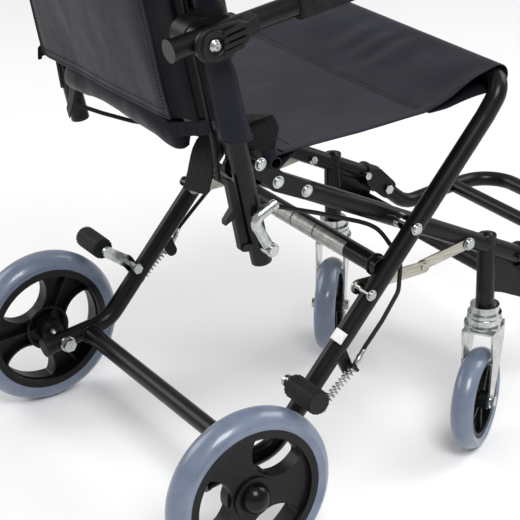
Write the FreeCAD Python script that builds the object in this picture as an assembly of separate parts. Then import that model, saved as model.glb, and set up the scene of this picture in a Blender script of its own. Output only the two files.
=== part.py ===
import FreeCAD, Part
import math
import os

V = FreeCAD.Vector
os.makedirs("parts", exist_ok=True)

# ---------------------------------------------------------------- driving dimensions (mm)
# "run" is the distance forward of the rear axle, "z" the height above the floor and
# "x" the sideways distance, positive to the sitter's left. +Z is up, the chair faces -Y.
ORIGIN_RUN = 237.0          # the run of the origin, midway between the grips and the footrest

TUBE_D = 22.0               # steel frame tube
TUBE_WALL = 1.5
TUBE_R = TUBE_D / 2
LEG_X = 188.0               # centre plane of each leg
RAIL_X = 156.0              # centre plane of each rail, inside the legs
POST_X = 190.0              # centre plane of each backrest post
CLEAR = 0.05                # radial running clearance of a hinge pin in its hole
GAP = 0.4                   # side clearance between two bodies

PIVOT = (251.0, 327.0)      # (run, z) where legs and rails cross
LEG_SLOPE = 1.04            # rise of a leg per unit of run
RAIL_SLOPE = -0.527         # rise of a rail per unit of run

WHEEL_R = 100.0             # rear wheels
WHEEL_X = 238.7
WHEEL_W = 36.0
AXLE = (0.0, 100.0)

CASTER_R = 62.5
CASTER_RIM = 47.5           # where the tyre sits on the hub
CASTER_W = 28.0
CASTER_TRAIL = 25.0
STEM_RUN = 389.0
CASTER_TURN = {"left": 46.0, "right": 33.0}     # degrees each caster stands turned at rest
WHEEL_TURN = {"left": 32.0, "right": -34.0}     # degrees each rear wheel stands turned at rest

REAR_BAR = (80.0, 440.0)    # cross bar in the seat's rear sleeve
BACK_PIVOT = (58.0, 446.0)
LEAN = 11.0                 # backrest lean from upright, degrees
POST_FOOT = (54.0, 343.0)   # bottom of the near post
ARM_PIVOT = (-23.0, 603.0)   # bolt each armrest turns on, behind its post
ARM_X = 221.0
FOOT_PIVOT = (467.0, 204.0)
BRAKE_PIVOT = (104.0, 174.0)
PEDAL = (77.0, 194.0)
STAY_FRONT = (350.0, 271.5)     # bolt of the front stay bar, on the rail
STAY_REAR = (190.0, 263.5)      # bolt of the rear stay bar, on the leg
STAY_KNEE = (283.0, 262.0)      # where the two stay bars meet

SIDES = {"left": 1, "right": -1}


# ---------------------------------------------------------------- small helpers
def at(x, run, z):
    """A point from its sideways distance, run and height."""
    return V(x, ORIGIN_RUN - run, z)


def leg_z(run):
    return PIVOT[1] + (run - PIVOT[0]) * LEG_SLOPE


def rail_z(run):
    return PIVOT[1] + (run - PIVOT[0]) * RAIL_SLOPE


def post_run(z):
    return POST_FOOT[0] - (z - POST_FOOT[1]) * math.tan(math.radians(LEAN))


def fuse(shapes):
    """One clean solid from several touching ones."""
    return shapes[0].multiFuse(shapes[1:]).removeSplitter() if len(shapes) > 1 else shapes[0]


def path_wire(points, radii):
    """Straight runs joined by tangent arcs, one radius for each inner corner."""
    edges = []
    start = points[0]
    for corner, after, radius in zip(points[1:-1], points[2:], radii):
        incoming = (corner - start).normalize()
        outgoing = (after - corner).normalize()
        turn = incoming.getAngle(outgoing)
        reach = radius * math.tan(turn / 2)
        arc_in = corner - incoming * reach
        arc_out = corner + outgoing * reach
        bisector = (outgoing - incoming).normalize()
        centre = corner + bisector * (radius / math.cos(turn / 2))
        middle = centre - bisector * radius
        if (arc_in - start).Length > 1e-6:
            edges.append(Part.LineSegment(start, arc_in).toShape())
        edges.append(Part.Arc(arc_in, middle, arc_out).toShape())
        start = arc_out
    edges.append(Part.LineSegment(start, points[-1]).toShape())
    return Part.Wire(edges)


def rod(points, radii=(), diameter=TUBE_D):
    """A solid round bar along a filleted path."""
    wire = path_wire(points, radii)
    direction = (points[1] - points[0]).normalize()
    ring = Part.Wire([Part.makeCircle(diameter / 2, points[0], direction)])
    return wire.makePipeShell([ring], True, False)


def tube(points, radii=(), diameter=TUBE_D, wall=TUBE_WALL):
    """A hollow round tube along a filleted path."""
    return rod(points, radii, diameter).cut(rod(points, radii, diameter - 2 * wall))


def pin(x_from, x_to, place, radius):
    """A cylinder that lies across the chair at (run, z)."""
    return Part.makeCylinder(radius, x_to - x_from, at(x_from, *place), V(1, 0, 0))


def prism(outline, x_from, x_to):
    """A flat plate: an outline of (run, z) points, thick across the chair."""
    face = Part.Face(Part.makePolygon([at(x_from, *p) for p in outline + outline[:1]]))
    return face.extrude(V(x_to - x_from, 0, 0))


def link(start, end, radius_start, radius_end, x_from, x_to):
    """A bar with round ends between two (run, z) places."""
    run, rise = end[0] - start[0], end[1] - start[1]
    length = math.hypot(run, rise)
    side = (-rise / length, run / length)
    outline = [(start[0] + side[0] * radius_start, start[1] + side[1] * radius_start),
               (end[0] + side[0] * radius_end, end[1] + side[1] * radius_end),
               (end[0] - side[0] * radius_end, end[1] - side[1] * radius_end),
               (start[0] - side[0] * radius_start, start[1] - side[1] * radius_start)]
    return fuse([prism(outline, x_from, x_to), pin(x_from, x_to, start, radius_start),
                 pin(x_from, x_to, end, radius_end)])


def mirror(shape):
    return shape.mirror(V(0, 0, 0), V(1, 0, 0))


def both(shape):
    """A piece drawn on the left, and its copy on the right."""
    return [shape, mirror(shape)]


def bolt(x_nut, x_head, place, shaft=3.0, head=4.9, thick=4.0):
    """Bolt on the left side: nut inside at x_nut, domed head outside at x_head."""
    shank = pin(x_nut, x_head + 0.5, place, shaft)
    nut_face = Part.Face(Part.makePolygon(
        [at(x_nut, place[0] + head * 0.95 * math.cos(math.radians(a)),
            place[1] + head * 0.95 * math.sin(math.radians(a))) for a in range(0, 361, 60)]))
    nut = nut_face.extrude(V(-thick, 0, 0))
    washer = pin(x_head, x_head + 1.0, place, head + 1.5)
    dome = pin(x_head + 1.0, x_head + thick, place, head)
    edge = [e for e in dome.Edges if e.Curve.TypeId == "Part::GeomCircle"
            and e.BoundBox.XMax > x_head + thick - 0.01 and e.BoundBox.XLength < 0.01]
    dome = dome.makeFillet(thick * 0.5, edge)
    return fuse([shank, nut, washer, dome])


def drill(shape, holes):
    """Cut cross holes: each is (place, radius)."""
    for place, radius in holes:
        shape = shape.cut(pin(-300, 300, place, radius + CLEAR))
    return shape


def compound(solids):
    return Part.makeCompound(solids)


def save(name, shape):
    if isinstance(shape, list):
        shape = compound(shape)
    for solid in shape.Solids:
        assert solid.isValid() and solid.isClosed(), name
    assert shape.Solids, name
    shape.exportStep("parts/%s.step" % name)


# ---------------------------------------------------------------- frame tubes
RAIL_REAR_RUN = 77.0
RAIL_FRONT_RUN = 455.0
RAIL_SCREWS = [(90.0, rail_z(90.0) + 1.0), (126.0, rail_z(126.0) + 1.0)]
GUSSET_BOLT = (433.0, rail_z(433.0))
STEM_BOTTOM = 178.0
STEM_TOP = 268.0
FRONT_TUBE = (435.0, 193.0)

RAIL_LINE = [at(RAIL_X, RAIL_REAR_RUN, rail_z(RAIL_REAR_RUN)), at(RAIL_X, RAIL_FRONT_RUN, rail_z(RAIL_FRONT_RUN))]
STEM_LINE = [at(RAIL_X, STEM_RUN, STEM_BOTTOM), at(RAIL_X, STEM_RUN, STEM_TOP)]
RAIL_SOLID = rod(RAIL_LINE)
STEM_SOLID = rod(STEM_LINE)


def rail():
    shape = tube(RAIL_LINE)
    holes = [(p, 3.0) for p in RAIL_SCREWS + [GUSSET_BOLT, STAY_FRONT]] + [(PIVOT, 4.0)]
    return drill(shape, holes)


def caster_stem():
    """Upright tube welded to the rail; its domed plug shows above the rail."""
    top = Part.makeSphere(TUBE_R - TUBE_WALL, at(RAIL_X, STEM_RUN, STEM_TOP - 6))
    plug = top.common(Part.makeCylinder(20, 20, at(RAIL_X, STEM_RUN, STEM_TOP - 8)))
    return fuse([tube(STEM_LINE, wall=2.0), plug]).cut(RAIL_SOLID)


def stem_gusset():
    """Plate welded between a rail, its stem and the front cross tube."""
    outline = [(377.0, rail_z(377.0)), (377.0, 199.0), (412.0, 187.0), (444.0, 171.0),
               (450.0, rail_z(450.0))]
    plate = prism(outline, RAIL_X - 2.5, RAIL_X + 2.5)
    plate = plate.cut(RAIL_SOLID).cut(STEM_SOLID)
    plate = plate.cut(pin(0, RAIL_X - 2.4, FRONT_TUBE, TUBE_R))
    return plate.Solids


def front_cross_tube():
    end = RAIL_X - 2.5
    return tube([at(-end, *FRONT_TUBE), at(end, *FRONT_TUBE)])


def seat_rear_bar():
    return rod([at(-183, *REAR_BAR), at(183, *REAR_BAR)], diameter=14).cut(
        rod([at(-183, *REAR_BAR), at(183, *REAR_BAR)], diameter=11))


def back_hinge_bracket():
    """Plate screwed to the rail's outer side that carries the rear bar and the back hinge."""
    x0 = RAIL_X + TUBE_R + 0.1
    plate = fuse([link(RAIL_SCREWS[1], RAIL_SCREWS[0], 10, 11, x0, x0 + 3),
                  link(RAIL_SCREWS[0], BACK_PIVOT, 11, 12, x0, x0 + 3)])
    plate = plate.cut(pin(100, 200, REAR_BAR, 7.0))
    return drill(plate, [(p, 3.0) for p in RAIL_SCREWS] + [(BACK_PIVOT, 4.0)])


def footrest_knuckle():
    """Plastic clevis on the rail's front end; its cheeks hold the footrest arm."""
    cheeks = [link((447.0, rail_z(447.0)), FOOT_PIVOT, 14.0, 13.0, x0, x0 + 4.5)
              for x0 in (RAIL_X - 16.0, RAIL_X + 11.5)]
    collar = rod([at(RAIL_X, 437.0, rail_z(437.0)), at(RAIL_X, RAIL_FRONT_RUN, rail_z(RAIL_FRONT_RUN))],
                 diameter=TUBE_D + 7)
    shape = fuse([collar] + cheeks)
    shape = shape.cut(RAIL_SOLID).cut(prism([(377.0, 300.0), (377.0, 120.0), (450.5, 120.0), (450.5, rail_z(450.5))],
                                            RAIL_X - 2.6, RAIL_X + 2.6))
    return drill(shape, [(FOOT_PIVOT, 3.5), (GUSSET_BOLT, 3.0)])


def frame_bolts():
    outside = RAIL_X + TUBE_R
    bracket_face = outside + 3.1
    shapes = [bolt(RAIL_X - TUBE_R - 0.1, bracket_face, p, thick=3.5, head=5.5) for p in RAIL_SCREWS]
    shapes.append(bolt(RAIL_X - 16.1, RAIL_X + 16.1, GUSSET_BOLT, thick=3.5, head=5.5))
    shapes.append(bolt(RAIL_X - TUBE_R - 0.1, outside + 0.9 + 2.2 + GAP, STAY_FRONT, thick=4, head=6))
    shapes.append(bolt(RAIL_X - 16.1, RAIL_X + 16.1, FOOT_PIVOT, shaft=3.5, head=7))
    shapes.append(bolt(RAIL_X + TUBE_R - 0.1, POST_X + 4.2 - 14.0 + 6.2, BACK_PIVOT, shaft=4.0, head=5.6, thick=4))
    return [s for one in shapes for s in both(one)]


def pivot_bolt():
    return bolt(RAIL_X - TUBE_R - 0.1, LEG_X + TUBE_R + GAP, PIVOT, shaft=4.0, head=5.6, thick=4.5)


# ---------------------------------------------------------------- leg frame
MID_BAR = (212.0, leg_z(212.0))
REAR_TUBE = (34.0, 103.0)
SEAT_BAR = (380.0, 470.0)
LEG_TAIL = (-22.0, 97.0)
LEG_KNEE = (64.0, 108.5)

LEG_PATH = [at(LEG_X, *LEG_TAIL), at(LEG_X, *LEG_KNEE),
            at(LEG_X, 352.0, leg_z(352.0)), at(LEG_X, *SEAT_BAR), at(LEG_X - 60, *SEAT_BAR)]
LEG_RADII = [45.0, 60.0, 26.0]


def leg_solid():
    return rod(LEG_PATH, LEG_RADII)


def leg(solid):
    shape = tube(LEG_PATH, LEG_RADII)
    holes = [(PIVOT, 4.0), (STAY_REAR, 3.0), (BRAKE_PIVOT, 3.5), (AXLE, 5.0)]
    return drill(shape, holes)


def seat_front_bar():
    end = LEG_X - 60
    return tube([at(-end, *SEAT_BAR), at(end, *SEAT_BAR)])


def cross_tube(place, legs):
    shape = tube([at(-LEG_X, *place), at(LEG_X, *place)])
    for one in legs:
        shape = shape.cut(one)
    return max(shape.Solids, key=lambda s: s.Volume)


def label_bands():
    """Three blank foil bands round the rear and underside of the middle cross tube."""
    bare = [(MID_BAR[0] + 30.0 * math.cos(math.radians(a)), MID_BAR[1] + 30.0 * math.sin(math.radians(a)))
            for a in (-55.0, 0.0, 55.0, 112.0)]
    bands = []
    for start, end in ((-129.5, -70.5), (-68.5, -26.0), (-24.0, 14.0)):
        outer = pin(start, end, MID_BAR, TUBE_R + 0.4)
        band = outer.cut(pin(start - 1, end + 1, MID_BAR, TUBE_R))
        bands.append(band.cut(prism([MID_BAR] + bare, start - 1, end + 1)))
    return bands


def leg_end_cap(side):
    """Plastic plug with a collar on the tail of a leg."""
    direction = (at(0, *LEG_TAIL) - at(0, *LEG_KNEE)).normalize()
    collar = Part.makeCylinder(TUBE_R + 0.8, 5, at(LEG_X, *LEG_TAIL), direction)
    plug = Part.makeCylinder(TUBE_R - TUBE_WALL - 0.05, 10, at(LEG_X, *LEG_TAIL) - direction * 9, direction)
    shape = fuse([collar, plug])
    return shape if side == "left" else mirror(shape)


def rear_axle_bolt():
    """Wheel axle: shaft through the leg and the hub, nut inside, head outside the hub."""
    shaft = pin(LEG_X - TUBE_R - 1.0, WHEEL_X + 21.0, AXLE, 5.0)
    washer = pin(LEG_X - TUBE_R - 3.1, LEG_X - TUBE_R - 1.0, AXLE, 10.0)
    nut = bolt(LEG_X - TUBE_R - 3.0, LEG_X - TUBE_R - 2.6, AXLE, shaft=5.0, head=9, thick=7)
    inner = nut.common(pin(LEG_X - 60, LEG_X - TUBE_R - 2.9, AXLE, 12))
    spacer = pin(LEG_X + TUBE_R + 0.1, WHEEL_X - 26.0, AXLE, 8.0)
    head = pin(WHEEL_X + 20.6, WHEEL_X + 23.0, AXLE, 8.0)
    return fuse([shaft, washer, inner, spacer, head])


def brake_bracket():
    """Black tab welded in front of the leg; it anchors the cable's adjuster."""
    x0 = LEG_X + 2.0
    tab = link((146.0, leg_z(146.0)), (163.0, 177.0), 8.0, 7.0, x0, x0 + 4.0)
    eye = Part.makeCylinder(7.0, 3.0, at(CABLE_X, 165.0, 181.0), cable_direction())
    shape = fuse([tab, eye]).cut(leg_solid())
    shape = shape.cut(Part.makeCylinder(3.6, 20, at(CABLE_X, 165.0, 181.0) - cable_direction() * 8,
                                        cable_direction()))
    return max(shape.Solids, key=lambda s: s.Volume)


CABLE_X = LEG_X + 12.0


def cable_direction():
    """The cable leaves the brake lever up and forward."""
    return (at(0, 165.0, 181.0) - at(0, *LEVER_EYE)).normalize()


def leg_bolts():
    outside = LEG_X + TUBE_R + 0.1
    inside = LEG_X - TUBE_R - 0.1
    spacer = pin(RAIL_X + TUBE_R + 0.35, inside, PIVOT, 8.5).cut(pin(0, 300, PIVOT, 4.0 + CLEAR))
    stay = bolt(STAY_LAYER_REAR - GAP, outside, STAY_REAR)
    washer = pin(STAY_LAYER_REAR + 2.6 + GAP, inside, STAY_REAR, 7.0)
    brake = bolt(inside, outside + 5.2, BRAKE_PIVOT, shaft=3.5, head=7)
    return [s for one in (spacer, fuse([stay, washer]), brake) for s in both(one)]


# ---------------------------------------------------------------- stays
STAY_LAYER_FRONT = RAIL_X + TUBE_R + 0.5        # x where the front bar starts
STAY_LAYER_REAR = RAIL_X + TUBE_R + 5.2         # x where the rear bar starts


def stay_front_bar():
    x0, x1 = STAY_LAYER_FRONT, STAY_LAYER_FRONT + 2.2
    bar = link(STAY_FRONT, STAY_KNEE, 6.5, 6.5, x0, x1)
    rivet = pin(x1 - 0.1, x1 + 1.0, STAY_KNEE, 4.5)
    return drill(bar, [(STAY_FRONT, 3.0)]).fuse(rivet).removeSplitter()


def stay_rear_bar():
    x0, x1 = STAY_LAYER_REAR, STAY_LAYER_REAR + 2.6
    bar = link(STAY_REAR, STAY_KNEE, 8.5, 7.0, x0, x1)
    rivet = pin(x1 - 0.1, x1 + 1.5, STAY_KNEE, 5.0)
    return drill(bar, [(STAY_REAR, 3.0)]).fuse(rivet).removeSplitter()


# ---------------------------------------------------------------- wheels
def ring_profile(inner, outer, width, centre_x, centre):
    """A tyre: flat seat inside, round tread outside, turned about the axle."""
    half = width / 2
    shoulder = inner + (outer - inner) * 0.42
    def p(r, x):
        return at(centre_x + x, centre[0], centre[1] + r)
    edges = [Part.LineSegment(p(inner, -half * 0.86), p(inner, half * 0.86)).toShape(),
             Part.LineSegment(p(inner, half * 0.86), p(shoulder, half)).toShape(),
             Part.Arc(p(shoulder, half), p(outer, 0), p(shoulder, -half)).toShape(),
             Part.LineSegment(p(shoulder, -half), p(inner, -half * 0.86)).toShape()]
    return Part.Face(Part.Wire(edges)).revolve(at(centre_x, *centre), V(1, 0, 0), 360)


def rear_hub(turn):
    """Moulded wheel centre: rim, three broad spokes, inner ribs, boss and dome cap."""
    rim_in, rim_out = 71.0, 80.0
    x = WHEEL_X
    rim = pin(x - 16, x + 16, AXLE, rim_out).cut(pin(x - 20, x + 20, AXLE, rim_in))
    web = pin(x + 2, x + 10, AXLE, rim_in + 1)
    ring = pin(x - 10, x + 4, AXLE, 29.0).cut(pin(x - 12, x + 4, AXLE, 26.0))
    ribs = []
    for k in range(3):
        bite_angle = math.radians(90 + 120 * k + turn)
        bite = (AXLE[0] + 60 * math.cos(bite_angle), AXLE[1] + 60 * math.sin(bite_angle))
        hole = pin(x - 20, x + 20, bite, 34.0).common(pin(x - 20, x + 20, AXLE, rim_in - 2.0))
        hole = hole.makeFillet(6.0, [e for e in hole.Edges if e.BoundBox.XLength > 39])
        lip = pin(x - 8, x + 4, bite, 36.5).common(pin(x - 8, x + 4, AXLE, rim_in + 1))
        web = fuse([web, lip]).cut(hole)
        rib_angle = math.radians(30 + 120 * k + turn)
        tip = (AXLE[0] + 72 * math.cos(rib_angle), AXLE[1] + 72 * math.sin(rib_angle))
        ribs.append(link(AXLE, tip, 1.5, 1.5, x - 7, x + 4))
    boss = pin(x - 24, x + 14, AXLE, 15.0)
    seat = pin(x + 9, x + 13, AXLE, 24.0)
    shape = fuse([rim, web, ring, boss, seat] + ribs)
    shape = shape.cut(pin(x - 40, x + 40, AXLE, 5.0 + CLEAR))
    shape = shape.cut(pin(x + 13.5, x + 40, AXLE, 10.0))
    return shape


def rear_hub_cap():
    """Glossy dome that covers the bolt head, hollow inside."""
    x = WHEEL_X + 14.1
    centre = at(x - 3.0, *AXLE)
    outer = Part.makeSphere(18.0, centre).common(pin(x, x + 30, AXLE, 40))
    inner = Part.makeSphere(16.0, centre).common(pin(x - 1, x + 30, AXLE, 40))
    return outer.cut(inner)


def turned(shape, side):
    """Turn a caster piece about its upright stem to where it stands at rest."""
    shape = shape.copy()
    shape.rotate(at(SIDES[side] * RAIL_X, STEM_RUN, 0), V(0, 0, 1), CASTER_TURN[side])
    return shape


CASTER_AXLE = (STEM_RUN - CASTER_TRAIL, CASTER_R)
FORK_IN = 17.0              # half the gap between the fork's arms
FORK_THICK = 2.5


def caster_fork(x):
    crown = fuse([Part.makeCylinder(21.0, 11.5, at(x, STEM_RUN, 152.0)),
                  Part.makeCylinder(24.0, 4.0, at(x, STEM_RUN, 150.0))])
    crown = crown.makeFillet(1.5, [e for e in crown.Edges if e.Curve.TypeId == "Part::GeomCircle"
                                   and abs(e.BoundBox.ZMax - 163.5) < 0.01 and e.BoundBox.ZLength < 0.01])
    plate = prism([(STEM_RUN + 22, 148.0), (STEM_RUN + 22, 150.5), (STEM_RUN - 26, 150.5), (STEM_RUN - 26, 148.0)],
                  x - FORK_IN - FORK_THICK, x + FORK_IN + FORK_THICK)
    kingpin = Part.makeCylinder(6.0, 48.0, at(x, STEM_RUN, 160.0))
    arms = []
    outline = [(STEM_RUN + 22, 150.5), (STEM_RUN + 20, 128.0), (CASTER_AXLE[0] + 9, CASTER_AXLE[1] - 3),
               (CASTER_AXLE[0] - 9, CASTER_AXLE[1] - 3), (STEM_RUN - 24, 112.0), (STEM_RUN - 26, 150.5)]
    for x0 in (x - FORK_IN - FORK_THICK, x + FORK_IN):
        arms += [prism(outline, x0, x0 + FORK_THICK), pin(x0, x0 + FORK_THICK, CASTER_AXLE, 9.5)]
    shape = fuse([crown, plate, kingpin] + arms)
    return shape.cut(pin(x - 40, x + 40, CASTER_AXLE, 4.0))


def caster_axle(x):
    half = FORK_IN + FORK_THICK
    shaft = pin(x - half - 0.5, x + half + 0.5, CASTER_AXLE, 4.0)
    heads = [pin(x + half, x + half + 5, CASTER_AXLE, 6.5), pin(x - half - 5, x - half, CASTER_AXLE, 6.5)]
    return fuse([shaft] + heads)


def caster_hub(x):
    rim = pin(x - 11, x + 11, CASTER_AXLE, CASTER_RIM).cut(pin(x - 12, x + 12, CASTER_AXLE, CASTER_RIM - 6.0))
    web = pin(x - 3, x + 3, CASTER_AXLE, CASTER_RIM - 5.0)
    boss = pin(x - FORK_IN + 0.5, x + FORK_IN - 0.5, CASTER_AXLE, 11.0)
    ribs = []
    for k in range(5):
        angle = math.radians(72 * k + 18)
        hole = (CASTER_AXLE[0] + 28 * math.cos(angle), CASTER_AXLE[1] + 28 * math.sin(angle))
        web = web.cut(pin(x - 6, x + 6, hole, 8.5))
        rib = math.radians(72 * k + 54)
        tip = (CASTER_AXLE[0] + (CASTER_RIM - 5.0) * math.cos(rib),
               CASTER_AXLE[1] + (CASTER_RIM - 5.0) * math.sin(rib))
        ribs.append(link(CASTER_AXLE, tip, 1.5, 1.5, x - 8, x + 8))
    return fuse([rim, web, boss] + ribs).cut(pin(x - 40, x + 40, CASTER_AXLE, 4.0 + CLEAR))


def caster_cup(x):
    """Fixed upper race under the stem, with the bush that the kingpin turns in."""
    race = fuse([Part.makeCylinder(17.5, 9.5, at(x, STEM_RUN, 168.4)),
                 Part.makeCylinder(20.5, 4.0, at(x, STEM_RUN, 164.0)),
                 Part.makeCylinder(19.0, 3.0, at(x, STEM_RUN, 166.0))])
    bush = Part.makeCylinder(TUBE_R - 2.0, 34.0, at(x, STEM_RUN, 176.0))
    return fuse([race, bush]).cut(Part.makeCylinder(6.0 + CLEAR, 80.0, at(x, STEM_RUN, 150.0)))


# ---------------------------------------------------------------- backrest
HANDLE_BEND = 40.0
HANDLE_Z = 902.0
GRIP_START = -105.0
GRIP_END = -194.0


def post_path(foot_z):
    bend = at(POST_X, post_run(HANDLE_Z), HANDLE_Z)
    return [at(POST_X, post_run(foot_z), foot_z), bend, at(POST_X, GRIP_END + 3.0, HANDLE_Z)]


def back_post(side):
    foot_z = POST_FOOT[1] if side == "right" else 388.0
    path = post_path(foot_z)
    shape = tube(path, [HANDLE_BEND])
    x0 = RAIL_X + TUBE_R + 3.1 + GAP
    root = (post_run(BACK_PIVOT[1]) + 1.0, BACK_PIVOT[1])
    ear = fuse([link(root, BACK_PIVOT, 13.0, 11.0, x0, x0 + 5.0),
                pin(x0, POST_X, root, 9.0)])
    ear = ear.cut(rod(path, [HANDLE_BEND], TUBE_D - 1.0))
    shape = fuse([shape, max(ear.Solids, key=lambda s: s.Volume)])
    shape = drill(shape, [(BACK_PIVOT, 4.0)])
    return shape if side == "left" else mirror(shape)


def along_post(z_from, z_to, diameter, x=POST_X):
    return rod([at(x, post_run(z_from), z_from), at(x, post_run(z_to), z_to)], diameter=diameter)


def armrest_clamp():
    """Moulded collar on a post, with the boss and pin the armrest turns on."""
    collar = along_post(574.0, 626.0, 37.0)
    middle = (post_run(603.0), 603.0)
    body = link(ARM_PIVOT, middle, 17.0, 17.0, POST_X - 6.0, POST_X + 18.6)
    thumb_block = link(middle, (23.0, 607.0), 13.0, 8.0, POST_X + 2.0, POST_X + 18.6)
    shape = fuse([collar, body, thumb_block])
    shape = shape.cut(along_post(560.0, 640.0, TUBE_D)).cut(back_sling())
    shape = max(shape.Solids, key=lambda s: s.Volume)
    bolt_shaft = pin(POST_X + 14.0, ARM_X + TUBE_R + 0.6, ARM_PIVOT, 4.0)
    head = pin(ARM_X + TUBE_R + 0.4, ARM_X + TUBE_R + 4.0, ARM_PIVOT, 7.0)
    return fuse([shape, bolt_shaft, head])


def armrest_tube():
    """Armrest tube that runs past the post, with its turning block."""
    line = [at(ARM_X, *ARM_REAR), at(ARM_X, *ARM_FRONT)]
    block = pin(POST_X + 19.0, ARM_X, ARM_PIVOT, 16.0).cut(rod(line))
    block = max(block.Solids, key=lambda s: s.Volume)
    cap = Part.makeCylinder(TUBE_R + 1.0, 5.0, at(ARM_X, *ARM_REAR), (line[0] - line[1]).normalize())
    shape = fuse([tube(line), block, cap])
    return drill(shape, [(ARM_PIVOT, 4.0)])


ARM_REAR = (-58.0, 601.0)
ARM_FRONT = (262.0, 642.0)
PAD_START = 0.43            # where the foam starts, as a share of the armrest's length


def armrest_pad():
    start, end = at(ARM_X, *ARM_REAR), at(ARM_X, *ARM_FRONT)
    foam_start = start + (end - start) * PAD_START
    direction = (end - start).normalize()
    length = (end - foam_start).Length + 6.0
    foam = Part.makeCylinder(16.0, length, foam_start, direction)
    foam = foam.makeFillet(4.0, [e for e in foam.Edges if e.Curve.TypeId == "Part::GeomCircle"])
    return foam.cut(Part.makeCylinder(TUBE_R + 0.02, length - 6.0, foam_start, direction))


def push_grip():
    start = at(POST_X, GRIP_START, HANDLE_Z)
    grip = Part.makeCylinder(16.0, GRIP_START - GRIP_END + 2.0, start, V(0, 1, 0))
    grip = grip.makeFillet(4.0, [e for e in grip.Edges if e.Curve.TypeId == "Part::GeomCircle"])
    return grip.cut(Part.makeCylinder(TUBE_R + 0.02, GRIP_START - GRIP_END - 3.0, start, V(0, 1, 0)))


HAND_PIVOT = (-96.0, 880.0)
MOUNT_RUN = -89.0           # where the lever clamp starts on the handle


def hand_lever_mount():
    """Clamp that carries the hand lever under the handle tube."""
    bore = Part.makeCylinder(TUBE_R, 40.0, at(POST_X, MOUNT_RUN + 10.0, HANDLE_Z), V(0, 1, 0))
    ring = Part.makeCylinder(15.0, 14.0, at(POST_X, MOUNT_RUN, HANDLE_Z), V(0, 1, 0))
    cheeks = [link((HAND_PIVOT[0], 890.0), HAND_PIVOT, 5.0, 6.0, x0, x0 + 3.0)
              for x0 in (POST_X - 7.0, POST_X + 4.0)]
    peg = pin(POST_X - 7.5, POST_X + 7.5, HAND_PIVOT, 2.5)
    return fuse([ring, peg] + cheeks).cut(bore)


def hand_lever():
    blade = rod([at(POST_X, HAND_PIVOT[0] + 1.0, HAND_PIVOT[1] - 1.0), at(POST_X, -122.0, 868.0),
                 at(POST_X, -187.0, 856.0)], [30.0], diameter=7.0)
    hub = pin(POST_X - 3.6, POST_X + 3.6, HAND_PIVOT, 5.0)
    tip = Part.makeSphere(5.0, at(POST_X, -187.0, 856.0))
    return drill(fuse([blade, hub, tip]), [(HAND_PIVOT, 2.5)])


def back_sling():
    """Backrest cloth as a thin slab between the posts, sewn round them as sleeves."""
    low, high = 482.0, 850.0
    sleeve = [along_post(low, high, TUBE_D + 5.0, x).cut(along_post(low - 5, high + 5, TUBE_D + 0.1, x))
              for x in (POST_X, -POST_X)]
    thick = 3.0
    outline = [(post_run(low) - thick, low), (post_run(low) + thick, low),
               (post_run(high) + thick, high), (post_run(high) - thick, high)]
    panel = prism(outline, -POST_X + TUBE_R + 0.6, POST_X - TUBE_R - 0.6)
    return fuse([panel] + sleeve)


def back_pocket():
    """Cloth pocket hung behind the posts, over a padded roll."""
    low, high = 499.0, 760.0
    outline = [(post_run(low) - 14.0, low), (post_run(low) - 49.0, low),
               (post_run(high) - 47.0, high - 22.0), (post_run(high) - 22.0, high),
               (post_run(high) - 14.0, high)]
    pocket = prism(outline, -145.0, 145.0)
    roll = link((-5.0, 482.0), (-4.0, 488.0), 19.0, 16.0, -122.0, 122.0)
    return fuse([pocket, roll]).cut(back_sling())


ROD_BOLT = (53.0, 361.0)


def back_lock_rod():
    """Bent zinc handle on the near post: it swings to free the back for folding."""
    x = -(POST_X + TUBE_R + 8.0)
    points = [at(x, 61.0, 410.0), at(x, 33.0, 398.0), at(x, *ROD_BOLT)]
    shape = rod(points, [10.0], diameter=12.0)
    eye = pin(x - 6.1, x + 6.1, ROD_BOLT, 7.6)
    toward = (points[1] - points[0]).normalize()
    grommet = Part.makeCylinder(7.0, 5.0, points[0] + toward * 3.0, toward)
    return drill(fuse([shape, eye, grommet]), [(ROD_BOLT, 3.0)])


def back_release_lever():
    """Flat lever with a finger tab behind the near post."""
    x0, x1 = -(POST_X + 4.0), -(POST_X - 4.0)
    foot = (post_run(362.0) - TUBE_R - 7.0, 362.0)
    strip = link(foot, (post_run(436.0) - TUBE_R - 7.0, 436.0), 5.0, 4.0, x0, x1)
    tab = prism([(post_run(404.0) - 20, 398.0), (post_run(404.0) - 32, 392.0),
                 (post_run(404.0) - 32, 397.0), (post_run(404.0) - 20, 412.0)], x0, x1)
    return fuse([strip, tab]).cut(pin(-220, -160, foot, 2.0 + CLEAR))


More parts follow.
